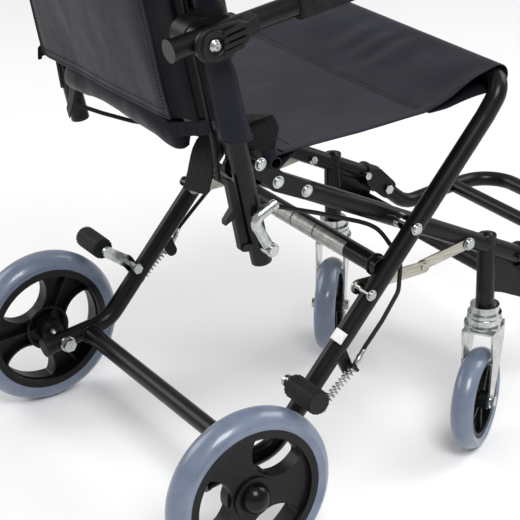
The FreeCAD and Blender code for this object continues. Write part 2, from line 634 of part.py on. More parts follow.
def back_fittings():
    """Pins of the lock rod and the release lever, and the caps in the posts' feet."""
    rod_x = -(POST_X + TUBE_R + 8.0)
    rod_pin = fuse([pin(rod_x - 7.0, -(POST_X + TUBE_R - 1.0), ROD_BOLT, 3.0),
                    pin(rod_x - 9.0, rod_x - 6.5, ROD_BOLT, 5.5)]).cut(along_post(330, 370, TUBE_D, -POST_X))
    foot = (post_run(362.0) - TUBE_R - 7.0, 362.0)
    ears = [link(foot, (post_run(362.0), 360.0), 4.0, 4.0, x0, x0 + 2.0) for x0 in (-(POST_X + 6.5), -(POST_X - 4.5))]
    lever_ears = fuse([e.cut(along_post(330, 400, TUBE_D, -POST_X)) for e in ears]
                      + [pin(-(POST_X + 6.5), -(POST_X - 6.5), foot, 2.0)])
    shapes = [max(rod_pin.Solids, key=lambda s: s.Volume)]
    shapes += sorted(lever_ears.Solids, key=lambda s: s.Volume)[-1:]
    for side, foot_z in (("left", 388.0), ("right", POST_FOOT[1])):
        x = SIDES[side] * POST_X
        axis = (at(x, post_run(foot_z), foot_z) - at(x, post_run(foot_z + 50), foot_z + 50)).normalize()
        shapes.append(Part.makeCylinder(TUBE_R, 4.0, at(x, post_run(foot_z), foot_z), axis))
    return shapes


# ---------------------------------------------------------------- brakes and footrest
LEVER_EYE = (121.0, 146.0)


def brake_lever():
    """Pressed lever outside the leg: pedal arm up and out, cable eye down in front."""
    x0 = LEG_X + TUBE_R + 0.5
    plate = fuse([link(BRAKE_PIVOT, LEVER_EYE, 8.0, 6.0, x0, x0 + 4.5),
                  link(BRAKE_PIVOT, PEDAL, 8.0, 7.0, x0, x0 + 4.5)])
    arm = pin(x0 + 1.0, WHEEL_X + 20.0, PEDAL, 5.0)
    return drill(fuse([plate, arm]), [(BRAKE_PIVOT, 3.5), (LEVER_EYE, 1.0)])


def brake_pedal():
    """Ribbed rubber sleeve on the lever's cross pin."""
    core = pin(WHEEL_X - 25.0, WHEEL_X + 23.0, PEDAL, 12.5)
    ribs = []
    for k in range(18):
        angle = math.radians(20 * k)
        place = (PEDAL[0] + 12.5 * math.cos(angle), PEDAL[1] + 12.5 * math.sin(angle))
        ribs.append(pin(WHEEL_X - 24.0, WHEEL_X + 22.0, place, 1.2))
    return fuse([core] + ribs).cut(pin(WHEEL_X - 30.0, WHEEL_X + 20.0, PEDAL, 5.0))


def brake_spring():
    """Return spring between the lever's eye and the cable anchor."""
    direction = cable_direction()
    x = CABLE_X
    start = at(x, *LEVER_EYE) + direction * 9.0
    length = (at(x, 165.0, 181.0) - start).Length - 1.0
    return Part.makeCylinder(5.0, length, start, direction).cut(
        Part.makeCylinder(3.5, length + 2, start - direction, direction))


def footrest_loop():
    """One bent tube: arms from the knuckles, a loop in front and a cross bar."""
    loop = [at(RAIL_X, *FOOT_PIVOT), at(RAIL_X, 508.0, 168.0), at(RAIL_X, 585.0, 174.0),
            at(RAIL_X, 660.0, 173.0), at(-RAIL_X, 660.0, 173.0), at(-RAIL_X, 585.0, 174.0),
            at(-RAIL_X, 508.0, 168.0), at(-RAIL_X, *FOOT_PIVOT)]
    radii = [40.0, 150.0, 45.0, 45.0, 150.0, 40.0]
    bar = [at(-RAIL_X, 590.0, 173.5), at(RAIL_X, 590.0, 173.5)]
    shape = rod(loop, radii, diameter=20.0).fuse(rod(bar, diameter=18.0))
    for sign in SIDES.values():
        shape = shape.fuse(pin(sign * RAIL_X - 10.8, sign * RAIL_X + 10.8, FOOT_PIVOT, 11.0))
    shape = shape.cut(rod(loop, radii, diameter=17.0)).cut(rod(bar, diameter=15.0))
    return drill(shape, [(FOOT_PIVOT, 3.5)])


# ---------------------------------------------------------------- seat and cables
def seat_sling():
    """Seat cloth: rear sleeve, flat span with a shallow sag and front sleeve."""
    half = 183.0
    top = [(REAR_BAR[0], REAR_BAR[1] + 12.0), (278.0, 452.0), (SEAT_BAR[0] - 4.0, SEAT_BAR[1] + 16.0)]
    bottom = [(p[0], p[1] - 4.0) for p in reversed(top)]
    return prism(top + bottom, -half, half)


CABLE_D = 5.0
BACK_CABLE = [(-100.0, 878.0), (-74.0, 850.0), (-47.0, 800.0), (-30.0, 700.0), (-4.0, 560.0), (12.0, 475.0), (17.0, 434.0)]
RAIL_CABLE = [(36.0, 408.0), (60.0, 396.0), (96.0, 379.0), (150.0, 357.0), (204.0, 333.0)]
LEG_CABLE = [(238.0, 298.0), (243.0, 282.0), (232.0, 254.0), (206.0, 227.0), (181.0, 203.0), (168.0, 184.0)]


def cable(route, x_list, radius=10.0):
    points = [at(x, *p) for x, p in zip(x_list, route)]
    return rod(points, [radius] * (len(points) - 2), diameter=CABLE_D)


def cables(route, x_list, radius=10.0):
    one = cable(route, x_list, radius)
    return both(one)


# ---------------------------------------------------------------- write every node
def main():
    left_leg = leg_solid()
    legs = [left_leg, mirror(left_leg)]

    left_rail = rail()
    save("rail_left", left_rail)
    save("rail_right", mirror(left_rail))
    save("front_cross_tube", front_cross_tube())
    save("seat_rear_bar", seat_rear_bar())
    save("caster_stems", both(fuse(caster_stem().Solids + stem_gusset())))
    save("back_hinge_brackets", both(back_hinge_bracket()))
    save("frame_pivot_bolts", both(pivot_bolt()))
    save("frame_bolts", frame_bolts())
    save("footrest_knuckles", both(footrest_knuckle()))
    save("caster_cups", [caster_cup(s * RAIL_X) for s in (1, -1)])
    save("seat_sling", seat_sling())

    for side, leg_shape in (("left", leg(left_leg)), ("right", mirror(leg(left_leg)))):
        save("leg_" + side, leg_shape)
    save("seat_front_bar", seat_front_bar())
    save("rear_cross_tube", cross_tube(REAR_TUBE, legs))
    save("mid_cross_tube", cross_tube(MID_BAR, legs))
    save("label_bands", label_bands())
    save("leg_end_caps", [leg_end_cap(side) for side in SIDES])
    save("rear_axle_bolts", both(rear_axle_bolt()))
    save("brake_brackets", both(brake_bracket()))
    save("leg_bolts", leg_bolts())
    save("brake_springs", both(brake_spring()))

    tyre = ring_profile(80.05, WHEEL_R, WHEEL_W, WHEEL_X, AXLE)
    cap = rear_hub_cap()
    for side in SIDES:
        flip = (lambda s: s) if side == "left" else mirror
        save("rear_tyre_" + side, flip(tyre))
        save("rear_hub_" + side, [flip(rear_hub(WHEEL_TURN[side])), flip(cap)])

    for side, sign in SIDES.items():
        x = sign * RAIL_X
        save("caster_fork_" + side, turned(caster_fork(x), side))
        save("caster_axle_" + side, turned(caster_axle(x), side))
        save("caster_tyre_" + side, turned(ring_profile(CASTER_RIM + CLEAR, CASTER_R, CASTER_W, x, CASTER_AXLE), side))
        save("caster_hub_" + side, turned(caster_hub(x), side))

    save("stay_front_bars", both(stay_front_bar()))
    save("stay_rear_bars", both(stay_rear_bar()))

    for side in SIDES:
        save("back_post_" + side, back_post(side))
    save("back_sling", back_sling())
    save("back_pocket", back_pocket())
    save("push_grips", both(push_grip()))
    save("armrest_clamps", both(armrest_clamp()))
    save("hand_lever_mounts", both(hand_lever_mount()))
    save("back_fittings", back_fittings())
    save("back_lock_rod", back_lock_rod())
    save("back_release_lever", back_release_lever())

    for side in SIDES:
        flip = (lambda s: s) if side == "left" else mirror
        save("armrest_tube_" + side, flip(armrest_tube()))
        save("armrest_pad_" + side, flip(armrest_pad()))
        save("hand_lever_" + side, flip(hand_lever()))
        save("brake_lever_" + side, flip(brake_lever()))
        save("brake_pedal_" + side, flip(brake_pedal()))
    save("footrest_loop", footrest_loop())

    save("brake_cables_back", cables(BACK_CABLE, [178, 172, 172, 172, 172, 172, 172]))
    save("brake_cables_rail", cables(RAIL_CABLE, [168, 160, 157, 157, 157], radius=30.0))
    save("brake_cables_leg", cables(LEG_CABLE, [172, 182, 193, 198, 200, 200], radius=22.0))


main()
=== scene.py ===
import math

import bmesh
import bpy
from mathutils import Matrix, Vector, noise


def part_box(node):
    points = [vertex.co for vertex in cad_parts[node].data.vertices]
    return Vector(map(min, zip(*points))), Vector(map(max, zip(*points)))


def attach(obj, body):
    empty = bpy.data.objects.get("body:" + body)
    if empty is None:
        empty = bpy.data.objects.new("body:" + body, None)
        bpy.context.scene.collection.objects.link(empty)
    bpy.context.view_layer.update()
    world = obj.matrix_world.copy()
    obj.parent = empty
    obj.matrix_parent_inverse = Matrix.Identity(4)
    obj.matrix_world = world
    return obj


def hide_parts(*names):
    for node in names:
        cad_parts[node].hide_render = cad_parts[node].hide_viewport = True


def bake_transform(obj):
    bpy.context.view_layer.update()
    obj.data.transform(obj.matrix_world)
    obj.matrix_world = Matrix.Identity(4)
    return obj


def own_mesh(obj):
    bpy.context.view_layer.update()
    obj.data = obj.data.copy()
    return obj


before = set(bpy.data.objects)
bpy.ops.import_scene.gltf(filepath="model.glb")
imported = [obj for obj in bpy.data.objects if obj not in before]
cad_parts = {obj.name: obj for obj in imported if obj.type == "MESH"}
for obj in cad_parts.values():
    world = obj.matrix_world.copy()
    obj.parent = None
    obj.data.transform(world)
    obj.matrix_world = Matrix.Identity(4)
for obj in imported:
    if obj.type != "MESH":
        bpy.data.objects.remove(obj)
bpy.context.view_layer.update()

# ---------------------------------------------------------------- measures, in metres
# "run" is the distance forward of the rear axle and "z" the height above the floor.
# x is positive to the sitter's left. The chair faces -Y.


def centre(node):
    low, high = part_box(node)
    return (low + high) / 2


AXLE = centre("rear_hub_left")
AXLE_Y = AXLE.y


def at(x, run, z):
    return Vector((x, AXLE_Y - run, z))


def run_of(point):
    return AXLE_Y - point.y


REAR_BAR = centre("seat_rear_bar")
FRONT_BAR = centre("seat_front_bar")
REAR_BAR_R = 0.0070
FRONT_BAR_R = 0.0110
SEAT_HALF = 0.183
CREASE_RUN = 0.278              # where the front sleeve is sewn to the seat
CREASE_Z = 0.4505

POST_X = 0.190
LEG_X = 0.188
TUBE_R = 0.011
CABLE_R = 0.0025
LEAN = math.radians(11.0)
POST_FOOT = (0.054, 0.343)      # (run, z) on the post's axis
SLING_LOW, SLING_HIGH = 0.482, 0.850
COLLAR_LOW, COLLAR_HIGH = 0.574, 0.628

FLAP_HALF = 0.143
FLAP_LOW, FLAP_HIGH = 0.500, 0.758
FLAP_STAND_OFF = 0.045          # how far behind the posts' axes the flap hangs
POUCH_HALF = 0.121
CLOTH_THICK = 0.0012

SLEEVE_R = 0.0146               # the loose cloth round a post
SLEEVE_TUCK = 0.0020            # how much tighter it is where something passes close to it
SLEEVE_START, SLEEVE_TURN = 172, 322    # degrees, from just forward of the post's inboard side
PAD_CLEAR_Z = 0.675             # above this a raised armrest's pad passes close to the sleeve
HALF_POINTS, ACROSS_POINTS = 33, 29     # points round each sleeve and across the back

SIDES = {"left": 1, "right": -1}


def post_run(z):
    return POST_FOOT[0] - (z - POST_FOOT[1]) * math.tan(LEAN)


def smooth(t):
    t = min(1.0, max(0.0, t))
    return t * t * (3 - 2 * t)


# ---------------------------------------------------------------- material kit
def new_material(name, colour, roughness, metallic=0.0, **sockets):
    mat = bpy.data.materials.new(name)
    mat.use_nodes = True
    shader = mat.node_tree.nodes["Principled BSDF"]
    shader.inputs["Base Color"].default_value = (*colour, 1.0)
    shader.inputs["Roughness"].default_value = roughness
    shader.inputs["Metallic"].default_value = metallic
    for socket, value in sockets.items():
        shader.inputs[socket.replace("_", " ")].default_value = value
    return mat, mat.node_tree, shader


def node(tree, kind, **values):
    made = tree.nodes.new(kind)
    for key, value in values.items():
        if hasattr(made, key):
            setattr(made, key, value)
        else:
            made.inputs[key.replace("_", " ")].default_value = value
    return made


def coords(tree, kind="Object", stretch=(1, 1, 1)):
    source = node(tree, "ShaderNodeTexCoord")
    mapping = node(tree, "ShaderNodeMapping")
    mapping.inputs["Scale"].default_value = stretch
    tree.links.new(source.outputs[kind], mapping.inputs["Vector"])
    return mapping.outputs["Vector"]


def noise_out(tree, vector, scale, detail=3.0, rough=0.55):
    made = node(tree, "ShaderNodeTexNoise")
    made.inputs["Scale"].default_value = scale
    made.inputs["Detail"].default_value = detail
    made.inputs["Roughness"].default_value = rough
    tree.links.new(vector, made.inputs["Vector"])
    return made.outputs["Fac"]


def wave_out(tree, vector, period, axis="X", distort=0.0):
    """Straight ribs of the given period in metres."""
    made = node(tree, "ShaderNodeTexWave", wave_type="BANDS", bands_direction=axis)
    made.inputs["Scale"].default_value = 2 * math.pi / 20 / period
    made.inputs["Distortion"].default_value = distort
    tree.links.new(vector, made.inputs["Vector"])
    return made.outputs["Fac"]


def ramp(tree, fac, low, high, colour_low, colour_high):
    made = node(tree, "ShaderNodeValToRGB")
    first, last = made.color_ramp.elements
    first.position, last.position = low, high
    first.color, last.color = (*colour_low, 1), (*colour_high, 1)
    tree.links.new(fac, made.inputs["Fac"])
    return made.outputs["Color"]


def span(tree, fac, low, high):
    made = node(tree, "ShaderNodeMapRange")
    made.inputs["To Min"].default_value = low
    made.inputs["To Max"].default_value = high
    tree.links.new(fac, made.inputs["Value"])
    return made.outputs["Result"]


def maths(tree, operation, a, b):
    made = node(tree, "ShaderNodeMath", operation=operation)
    for socket, value in zip(made.inputs, (a, b)):
        if isinstance(value, (int, float)):
            socket.default_value = value
        else:
            tree.links.new(value, socket)
    return made.outputs["Value"]


def bump(tree, shader, height, strength, distance=0.001, after=None):
    made = node(tree, "ShaderNodeBump")
    made.inputs["Strength"].default_value = strength
    made.inputs["Distance"].default_value = distance
    tree.links.new(height, made.inputs["Height"])
    if after is not None:
        tree.links.new(after, made.inputs["Normal"])
    tree.links.new(made.outputs["Normal"], shader.inputs["Normal"])
    return made.outputs["Normal"]


def tinted(tree, shader, fac, dark, light, low=0.35, high=0.7):
    tree.links.new(ramp(tree, fac, low, high, dark, light), shader.inputs["Base Color"])


def rough_between(tree, shader, fac, low, high):
    tree.links.new(span(tree, fac, low, high), shader.inputs["Roughness"])


# ---------------------------------------------------------------- materials
def powder_coat():
    mat, tree, shader = new_material("powder_coat", (0.004, 0.004, 0.0045), 0.30, Specular_IOR_Level=0.16,
                                     Coat_Weight=0.10, Coat_Roughness=0.16)
    space = coords(tree)
    tinted(tree, shader, noise_out(tree, space, 28), (0.003, 0.003, 0.0034), (0.006, 0.006, 0.007))
    rough_between(tree, shader, noise_out(tree, space, 60, 5), 0.24, 0.38)
    bump(tree, shader, noise_out(tree, space, 1100, 2), 0.10, 0.0004)
    return mat


def moulded_plastic(name, shade, low, high, grain):
    mat, tree, shader = new_material(name, (shade, shade, shade * 1.05), 0.5, Specular_IOR_Level=0.22)
    space = coords(tree)
    tinted(tree, shader, noise_out(tree, space, 45), (shade * 0.75,) * 3, (shade * 1.35,) * 3)
    rough_between(tree, shader, noise_out(tree, space, 120, 4), low, high)
    bump(tree, shader, noise_out(tree, space, grain, 2), 0.18, 0.0004)
    return mat


def hub_plastic():
    """Moulded black plastic; the dome over the axle is polished."""
    mat, tree, shader = new_material("hub_plastic", (0.012, 0.012, 0.013), 0.4, Specular_IOR_Level=0.22)
    space = coords(tree)
    tinted(tree, shader, noise_out(tree, space, 40), (0.003, 0.003, 0.0035), (0.007, 0.007, 0.0075))
    split = node(tree, "ShaderNodeSeparateXYZ")
    tree.links.new(space, split.inputs["Vector"])
    side = maths(tree, "ABSOLUTE", split.outputs["X"], 0.0)
    outside = maths(tree, "GREATER_THAN", side, AXLE.x + 0.0105)
    plain = span(tree, noise_out(tree, space, 130, 4), 0.34, 0.5)
    polished = maths(tree, "MULTIPLY", outside, 0.24)
    tree.links.new(maths(tree, "SUBTRACT", plain, polished), shader.inputs["Roughness"])
    bump(tree, shader, noise_out(tree, space, 1500, 2), 0.10, 0.0003)
    return mat


def zinc_plate():
    mat, tree, shader = new_material("zinc_plate", (0.5, 0.52, 0.51), 0.22, 1.0)
    space = coords(tree)
    tinted(tree, shader, noise_out(tree, space, 90, 4), (0.33, 0.35, 0.34), (0.60, 0.62, 0.61), 0.3, 0.75)
    rough_between(tree, shader, noise_out(tree, space, 160, 5), 0.14, 0.30)
    bump(tree, shader, noise_out(tree, space, 500, 3), 0.12, 0.0004)
    return mat


def nickel_plate():
    mat, tree, shader = new_material("nickel_plate", (0.42, 0.40, 0.35), 0.26, 1.0)
    space = coords(tree, stretch=(1, 0.12, 1))
    tinted(tree, shader, noise_out(tree, space, 300, 4), (0.33, 0.31, 0.27), (0.52, 0.50, 0.44), 0.3, 0.75)
    rough_between(tree, shader, noise_out(tree, space, 500, 3), 0.2, 0.42)
    bump(tree, shader, noise_out(tree, space, 900, 2), 0.10, 0.0003)
    return mat


def solid_tyre():
    """Blue-grey polyurethane tyre, smooth, with faint scuffs."""
    mat, tree, shader = new_material("solid_tyre", (0.12, 0.15, 0.22), 0.24, Coat_Weight=0.5,
                                     Coat_Roughness=0.12, Subsurface_Weight=0.08, Subsurface_Scale=0.004)
    space = coords(tree)
    clouds = noise_out(tree, space, 34, 5)
    tinted(tree, shader, clouds, (0.105, 0.135, 0.20), (0.165, 0.20, 0.275), 0.3, 0.75)
    rough_between(tree, shader, noise_out(tree, space, 90, 6, 0.7), 0.2, 0.5)
    bump(tree, shader, noise_out(tree, space, 260, 3), 0.10, 0.0006)
    return mat


def soft_black(name, shade, low, high, grain, strength):
    mat, tree, shader = new_material(name, (shade,) * 3, 0.8, Specular_IOR_Level=0.25)
    space = coords(tree)
    tinted(tree, shader, noise_out(tree, space, 60, 4), (shade * 0.7,) * 3, (shade * 1.5,) * 3)
    rough_between(tree, shader, noise_out(tree, space, 140, 3), low, high)
    bump(tree, shader, noise_out(tree, space, grain, 3), strength, 0.0006)
    return mat


def nylon(name, dark, light, shine, gloss):
    """Coated plain-weave nylon: fine crossed threads, faint creasing and a soft sheen."""
    mat, tree, shader = new_material(name, light, shine, Specular_IOR_Level=gloss, Sheen_Weight=0.02,
                                     Sheen_Roughness=0.4)
    space = coords(tree)
    across = wave_out(tree, space, 0.0011, "X", 0.4)
    along = wave_out(tree, space, 0.0011, "DIAGONAL", 0.4)
    threads = maths(tree, "MAXIMUM", across, along)
    clouds = noise_out(tree, space, 14, 4)
    tinted(tree, shader, clouds, dark, light, 0.3, 0.72)
    rough_between(tree, shader, noise_out(tree, space, 55, 4), shine - 0.08, shine + 0.10)
    creases = noise_out(tree, coords(tree, stretch=(1.6, 0.7, 0.7)), 22, 4, 0.6)
    first = bump(tree, shader, creases, 0.22, 0.004)
    bump(tree, shader, threads, 0.22, 0.0003, first)
    return mat


def webbing():
    """Heavy black webbing: ribs along its length and a weave across them, coloured by their height:
    painted shade in the grooves, painted light on the rib tops.
    """
    mat, tree, shader = new_material("webbing", (0.006, 0.006, 0.008), 0.62, Specular_IOR_Level=0.2,
                                     Sheen_Weight=0.05)
    space = coords(tree, "UV")
    ribs = wave_out(tree, space, 0.0034, "X")
    picks = wave_out(tree, space, 0.0022, "Y", 0.3)
    height = maths(tree, "MULTIPLY", ribs, maths(tree, "ADD", maths(tree, "MULTIPLY", picks, 0.5), 0.5))
    # Painted shade: the grooves between ribs are coloured darker and the rib tops lighter, following the
    # same height as the bump.
    tinted(tree, shader, height, (0.002, 0.002, 0.003), (0.016, 0.016, 0.020), 0.1, 0.9)
    bump(tree, shader, height, 0.9, 0.0009)
    return mat


def label_foil():
    """Blank silver foil wrapped round the tube, dulled and slightly crumpled."""
    mat, tree, shader = new_material("label_foil", (0.45, 0.45, 0.43), 0.36, 0.8)
    space = coords(tree)
    tinted(tree, shader, noise_out(tree, space, 120, 4), (0.34, 0.34, 0.32), (0.52, 0.52, 0.50), 0.3, 0.7)
    rough_between(tree, shader, noise_out(tree, space, 210, 3), 0.25, 0.5)
    bump(tree, shader, noise_out(tree, space, 170, 3), 0.15, 0.0006)
    return mat


def paper_label():
    mat, tree, shader = new_material("paper_label", (0.78, 0.78, 0.76), 0.5)
    space = coords(tree)
    tinted(tree, shader, noise_out(tree, space, 200, 4), (0.70, 0.70, 0.68), (0.84, 0.84, 0.83))
    bump(tree, shader, noise_out(tree, space, 900, 2), 0.12, 0.0003)
    return mat


def post_fittings():
    """Black caps and levers; the lock rod's bolt, outboard of the post, is zinc plated."""
    mat, tree, shader = new_material("post_fittings", (0.006, 0.006, 0.006), 0.4, Specular_IOR_Level=0.25)
    space = coords(tree)
    split = node(tree, "ShaderNodeSeparateXYZ")
    tree.links.new(space, split.inputs["Vector"])
    outboard = maths(tree, "LESS_THAN", split.outputs["X"], -0.2025)
    tree.links.new(outboard, shader.inputs["Metallic"])
    tinted(tree, shader, outboard, (0.006, 0.006, 0.006), (0.50, 0.52, 0.51), 0.4, 0.6)
    rough_between(tree, shader, noise_out(tree, space, 120, 4), 0.22, 0.45)
    return mat


POWDER = powder_coat()
FITTINGS = post_fittings()
PLASTIC = moulded_plastic("black_plastic", 0.006, 0.34, 0.5, 1400)
HUB = hub_plastic()
ZINC = zinc_plate()
NICKEL = nickel_plate()
TYRE = solid_tyre()
RUBBER = soft_black("black_rubber", 0.007, 0.45, 0.65, 900, 0.3)
FOAM = soft_black("closed_cell_foam", 0.010, 0.85, 0.98, 1500, 0.55)
CABLE = soft_black("cable_sheath", 0.004, 0.35, 0.5, 700, 0.08)
CLOTH = nylon("seat_nylon", (0.009, 0.010, 0.015), (0.017, 0.018, 0.028), 0.42, 0.20)
# The back's cloth is a darker copy of the seat's nylon: painted shade on the same fabric.
CLOTH_BACK = nylon("back_nylon_painted_shade", (0.007, 0.008, 0.012), (0.013, 0.014, 0.021), 0.40, 0.10)
# The gussets' cloth is a still darker copy of the same nylon: painted shade where they sit in shade.
GUSSET_NYLON_PAINTED_SHADE = nylon("gusset_nylon_painted_shade", (0.004, 0.004, 0.006), (0.009, 0.009, 0.012), 0.30, 0.08)
THREAD = soft_black("thread", 0.010, 0.6, 0.8, 2500, 0.3)
WEBBING = webbing()
FOIL = label_foil()
PAPER = paper_label()

NODE_MATERIALS = {
    POWDER: ["rail_left", "rail_right", "front_cross_tube", "seat_rear_bar", "caster_stems",
             "back_hinge_brackets", "leg_left", "leg_right", "seat_front_bar", "rear_cross_tube",
             "mid_cross_tube", "brake_brackets", "back_post_left", "back_post_right",
             "footrest_loop", "armrest_tube_left", "armrest_tube_right"],
    ZINC: ["frame_pivot_bolts", "frame_bolts", "rear_axle_bolts", "leg_bolts", "caster_fork_left",
           "caster_fork_right", "caster_axle_left", "caster_axle_right", "caster_cups",
           "brake_lever_left", "brake_lever_right", "back_lock_rod", "brake_springs"],
    NICKEL: ["stay_front_bars", "stay_rear_bars"],
    PLASTIC: ["footrest_knuckles", "leg_end_caps", "armrest_clamps", "hand_lever_mounts",
              "back_release_lever", "hand_lever_left", "hand_lever_right"],
    HUB: ["rear_hub_left", "rear_hub_right", "caster_hub_left", "caster_hub_right"],
    TYRE: ["rear_tyre_left", "rear_tyre_right", "caster_tyre_left", "caster_tyre_right"],
    RUBBER: ["brake_pedal_left", "brake_pedal_right", "push_grips"],
    FOAM: ["armrest_pad_left", "armrest_pad_right"],
    CABLE: ["brake_cables_back", "brake_cables_rail", "brake_cables_leg"],
    FITTINGS: ["back_fittings"],
    FOIL: ["label_bands"],
    CLOTH: ["seat_sling"],
    CLOTH_BACK: ["back_sling", "back_pocket"],
}


def dress_cad_nodes():
    for mat, names in NODE_MATERIALS.items():
        for name in names:
            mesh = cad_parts[name].data
            mesh.materials.clear()
            mesh.materials.append(mat)


# ---------------------------------------------------------------- mesh kit
def make_object(name, mesh, mat):
    mesh.materials.append(mat)
    made = bpy.data.objects.new(name, mesh)
    bpy.context.scene.collection.objects.link(made)
    for face in mesh.polygons:
        face.use_smooth = True
    return made


def grid(name, rows, mat, wrap=False, scale_uv=None):
    """A sheet from rows of points; scale_uv=(width, length) lays a UV map in metres over it."""
    count = len(rows[0])
    points = [p for row in rows for p in row]
    faces = []
    for r in range(len(rows) - 1):
        for c in range(count if wrap else count - 1):
            d = (c + 1) % count
            faces.append((r * count + c, r * count + d, (r + 1) * count + d, (r + 1) * count + c))
    mesh = bpy.data.meshes.new(name)
    mesh.from_pydata([tuple(p) for p in points], [], faces)
    if scale_uv:
        layer = mesh.uv_layers.new(name="UVMap")
        for loop in mesh.loops:
            r, c = divmod(loop.vertex_index, count)
            layer.data[loop.index].uv = (c / (count - 1) * scale_uv[0], r / (len(rows) - 1) * scale_uv[1])
    return make_object(name, mesh, mat)


def bake(piece):
    """Turn a piece's modifiers into its mesh."""
    bpy.context.view_layer.update()
    shown = piece.evaluated_get(bpy.context.evaluated_depsgraph_get())
    piece.data = bpy.data.meshes.new_from_object(shown)
    piece.modifiers.clear()
    return piece


def thicken(piece, thickness, levels=1):
    """Give a sheet its thickness, half to each side, and round it by subdivision."""
    solid = piece.modifiers.new("thickness", "SOLIDIFY")
    solid.thickness = thickness
    solid.offset = 0.0
    if levels:
        rounder = piece.modifiers.new("rounder", "SUBSURF")
        rounder.levels = rounder.render_levels = levels
    return bake(piece)


def tube_along(name, points, radius, mat, closed=False, resolution=4, sides=4):
    """A round cord or bead along points, as a mesh."""
    curve = bpy.data.curves.new(name, "CURVE")
    curve.dimensions = "3D"
    spline = curve.splines.new("NURBS")
    spline.points.add(len(points) - 1)
    for slot_point, p in zip(spline.points, points):
        slot_point.co = (*p, 1.0)
    spline.order_u = 3
    spline.use_endpoint_u = not closed
    spline.use_cyclic_u = closed
    curve.bevel_depth = radius
    curve.bevel_resolution = sides
    curve.resolution_u = resolution
    curve.use_fill_caps = True
    holder = bpy.data.objects.new(name, curve)
    bpy.context.scene.collection.objects.link(holder)
    bpy.context.view_layer.update()
    mesh = bpy.data.meshes.new_from_object(holder.evaluated_get(bpy.context.evaluated_depsgraph_get()))
    bpy.data.objects.remove(holder)
    return make_object(name, mesh, mat)


def join(name, pieces):
    """Several pieces of one material as one object."""
    whole = bmesh.new()
    for piece in pieces:
        whole.from_mesh(piece.data)
    mesh = bpy.data.meshes.new(name)
    whole.to_mesh(mesh)
    whole.free()
    mat = pieces[0].data.materials[0]
    for piece in pieces:
        bpy.data.objects.remove(piece)
    return make_object(name, mesh, mat)


def arc(middle, radius, start, end, count):
    """(run, z) points on a circle, angles in degrees from forward towards up."""
    out = []
    for k in range(count):
        a = math.radians(start + (end - start) * k / (count - 1))
        out.append((middle[0] + radius * math.cos(a), middle[1] + radius * math.sin(a)))
    return out


def resample(points, count):
    """Evenly spaced points along a polyline of any dimension."""
    lengths = [0.0]
    for a, b in zip(points, points[1:]):
        lengths.append(lengths[-1] + math.dist(a, b))
    out, k = [], 0
    for i in range(count):
        want = lengths[-1] * i / (count - 1)
        while k < len(points) - 2 and lengths[k + 1] < want:
            k += 1
        t = (want - lengths[k]) / max(1e-9, lengths[k + 1] - lengths[k])
        out.append(tuple(a + (b - a) * t for a, b in zip(points[k], points[k + 1])))
    return out, lengths[-1]


def stitches(name, line, up, pitch=0.0042, length=0.0028, thick=0.00045):
    """A row of thread stitches lying along a polyline of Vectors."""
    dots = resample([tuple(p) for p in line], max(3, int(polyline_length(line) / pitch)))[0]
    whole = bmesh.new()
    for a, b in zip(dots, dots[1:]):
        a, b = Vector(a), Vector(b)
        direction = (b - a).normalized()
        turn = direction.to_track_quat("X", "Z").to_matrix().to_4x4()
        place = Matrix.Translation((a + b) / 2 + up * thick * 0.6) @ turn
        stretch = Matrix.Diagonal((length / 2, thick, thick, 1))
        bmesh.ops.create_icosphere(whole, subdivisions=1, radius=1.0, matrix=place @ stretch)
    mesh = bpy.data.meshes.new(name)
    whole.to_mesh(mesh)
    whole.free()
    return make_object(name, mesh, THREAD)


def polyline_length(points):
    return sum(math.dist(a, b) for a, b in zip(points, points[1:]))


# ---------------------------------------------------------------- seat
SEAT_THICK = 0.0014
REAR_WRAP_POINTS = 12           # points of the seat's profile round the rear bar
TOP_POINTS = 8                  # and along the top face, up to the front bar


def seat_profile():
    """(run, z) path of the cloth: under the rear bar, over it, forward, round the front bar and back."""
    rear = (run_of(REAR_BAR), REAR_BAR.z)
    front = (run_of(FRONT_BAR), FRONT_BAR.z)
    rear_wrap = arc(rear, REAR_BAR_R + 0.0014, 300, 95, REAR_WRAP_POINTS)
    top = [(rear[0] + 0.03, rear[1] + 0.0088), (CREASE_RUN - 0.09, CREASE_Z - 0.003),
           (CREASE_RUN, CREASE_Z)]
    rise = [(CREASE_RUN + 0.035, CREASE_Z + 0.0105), (CREASE_RUN + 0.068, CREASE_Z + 0.0235)]
    front_wrap = arc(front, FRONT_BAR_R + 0.0024, 108, -20, 10)
    lip = [(front[0] + 0.0115, front[1] - 0.012), (front[0] + 0.004, front[1] - 0.0152)]
    under = [(front[0] - 0.03, front[1] - 0.0175), (CREASE_RUN + 0.03, CREASE_Z - 0.0012),
             (CREASE_RUN + 0.003, CREASE_Z - 0.0016)]
    tail = [(rear[0] + 0.026, rear[1] + 0.0068)]
    return tail + rear_wrap + top + rise + front_wrap + lip + under


def seat_point(x_share, run, z):
    """Place a profile point at a share -1..1 of the half width, with sag and soft folds."""
    rear, front = run_of(REAR_BAR), run_of(FRONT_BAR)
    t = (run - rear) / (front - rear)
    inset = 0.0045 * math.sin(math.pi * min(1.0, max(0.0, t))) + 0.006 * smooth((t - 0.72) / 0.2)
    x = x_share * (SEAT_HALF - inset)
    span_share = math.sin(math.pi * min(1.0, max(0.0, t)))
    sag = 0.0035 * span_share * (1 - x_share * x_share)
    ripple_zone = smooth((t - 0.70) / 0.12) * smooth((1.0 - t) / 0.10)
    ripple = 0.0009 * ripple_zone * math.sin(x * 118 + 2.2 * math.sin(x * 31) + run * 25)
    cloud = 0.0022 * span_share * noise.noise(Vector((x * 9, run * 7, 3.1)))
    fine = 0.0006 * span_share * noise.noise(Vector((x * 34 + 9, run * 16, 7.7)))
    return at(x, run, z - sag + ripple + cloud + fine)


